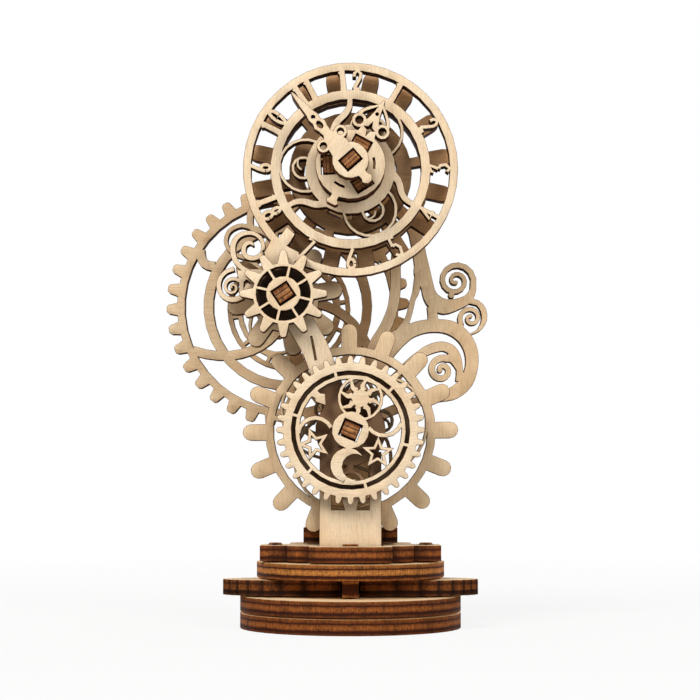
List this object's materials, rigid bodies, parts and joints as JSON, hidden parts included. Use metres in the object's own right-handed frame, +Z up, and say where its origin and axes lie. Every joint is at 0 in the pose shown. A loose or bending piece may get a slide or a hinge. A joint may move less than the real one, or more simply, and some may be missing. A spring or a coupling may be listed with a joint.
{
  "type": "wooden mechanical clock",
  "caption": "Small standing clock of laser-cut plywood: an open dial with hands above meshed gears and scrollwork on a stepped round base, turned by a hand wheel at the back.",
  "frame": {"origin": "middle of the flat underside of the round base", "axes": "+Z up, the dial faces -Y, +X to the right as seen from the front; every gear axis runs along Y"},
  "size_m": [0.0612, 0.042, 0.1037],
  "materials": {
    "light_plywood": "matt",
    "burnt_plywood": "matt",
    "stick_wood": "matt"
  },
  "bodies": {
    "frame": {"front_plate": "light_plywood", "ornament_plate": "light_plywood", "base_disc_bottom": "burnt_plywood", "base_disc_second": "burnt_plywood", "base_wing_plate": "burnt_plywood", "base_key": "burnt_plywood", "base_disc_upper": "burnt_plywood", "base_rosette": "burnt_plywood", "stand_wedge": "burnt_plywood", "base_top_block": "burnt_plywood", "base_peg_left": "burnt_plywood", "base_peg_right": "burnt_plywood"},
    "winding_train": {"middle_shaft": "stick_wood", "front_pinion": "light_plywood", "finger_gear": "light_plywood", "drive_gear": "light_plywood", "hand_wheel": "light_plywood", "middle_washer": "light_plywood", "middle_spacer_1": "light_plywood", "middle_spacer_2": "light_plywood", "middle_spacer_3": "light_plywood", "middle_spacer_4": "light_plywood"},
    "lower_train": {"lower_shaft": "stick_wood", "star_gear": "light_plywood", "ring_gear": "light_plywood", "lower_washer": "light_plywood", "lower_spacer": "light_plywood", "lower_lock_ring": "light_plywood"},
    "hour_train": {"hour_hand": "light_plywood", "hour_bearing_disc": "light_plywood", "hour_gear": "light_plywood", "hour_peg_1": "stick_wood", "hour_peg_2": "stick_wood", "hour_peg_3": "stick_wood"},
    "minute_train": {"minute_shaft": "stick_wood", "minute_hand": "light_plywood", "minute_pinion": "light_plywood", "minute_washer": "light_plywood", "minute_spacer_1": "light_plywood", "minute_spacer_2": "light_plywood", "minute_spacer_3": "light_plywood"}
  },
  "joints": [
    {"name": "winding_spin", "type": "hinge", "parent": "frame", "child": "winding_train", "pos_m": [-0.0121, 0, 0.06093], "axis": [0, -1, 0], "continuous": true},
    {"name": "lower_spin", "type": "hinge", "parent": "frame", "child": "lower_train", "pos_m": [0, 0, 0.03635], "axis": [0, -1, 0], "continuous": true},
    {"name": "hour_spin", "type": "hinge", "parent": "frame", "child": "hour_train", "pos_m": [0, 0, 0.08406], "axis": [0, -1, 0], "continuous": true},
    {"name": "minute_spin", "type": "hinge", "parent": "frame", "child": "minute_train", "pos_m": [0, 0, 0.08406], "axis": [0, -1, 0], "continuous": true}
  ],
  "couplings": [
    {"joint": "lower_spin", "follows": "winding_spin", "ratio": -0.5},
    {"joint": "hour_spin", "follows": "winding_spin", "ratio": -0.5},
    {"joint": "minute_spin", "follows": "winding_spin", "ratio": -6}
  ]
}
